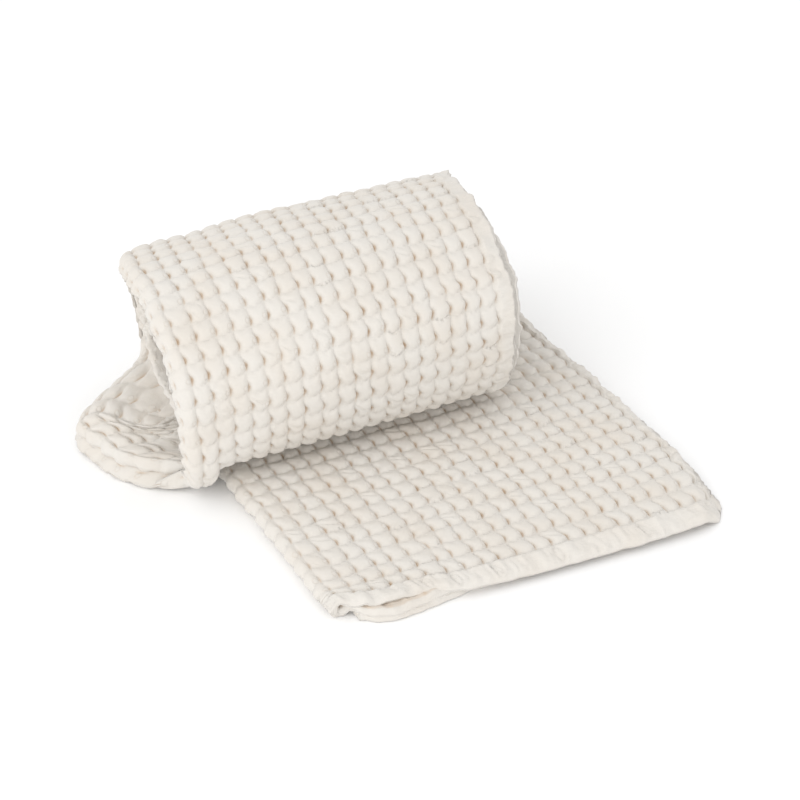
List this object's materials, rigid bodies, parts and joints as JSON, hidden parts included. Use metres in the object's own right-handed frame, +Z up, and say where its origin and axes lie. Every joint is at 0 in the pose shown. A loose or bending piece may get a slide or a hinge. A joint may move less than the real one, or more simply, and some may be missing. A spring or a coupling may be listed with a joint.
{
  "type": "bath towel, folded lengthwise and rolled",
  "caption": "Honeycomb-weave cotton bath towel, folded in three along its length and rolled up, its last stretch lying flat in front of the roll.",
  "frame": {"origin": "on the surface it lies on, under the middle of the whole", "axes": "X along the roll, Y from the open end back to the roll, Z up"},
  "size_m": [0.3148, 0.298, 0.1295],
  "materials": {
    "cotton": "matte off-white puffed cotton weave"
  },
  "bodies": {
    "root": {"towel": "cotton"}
  },
  "joints": []
}
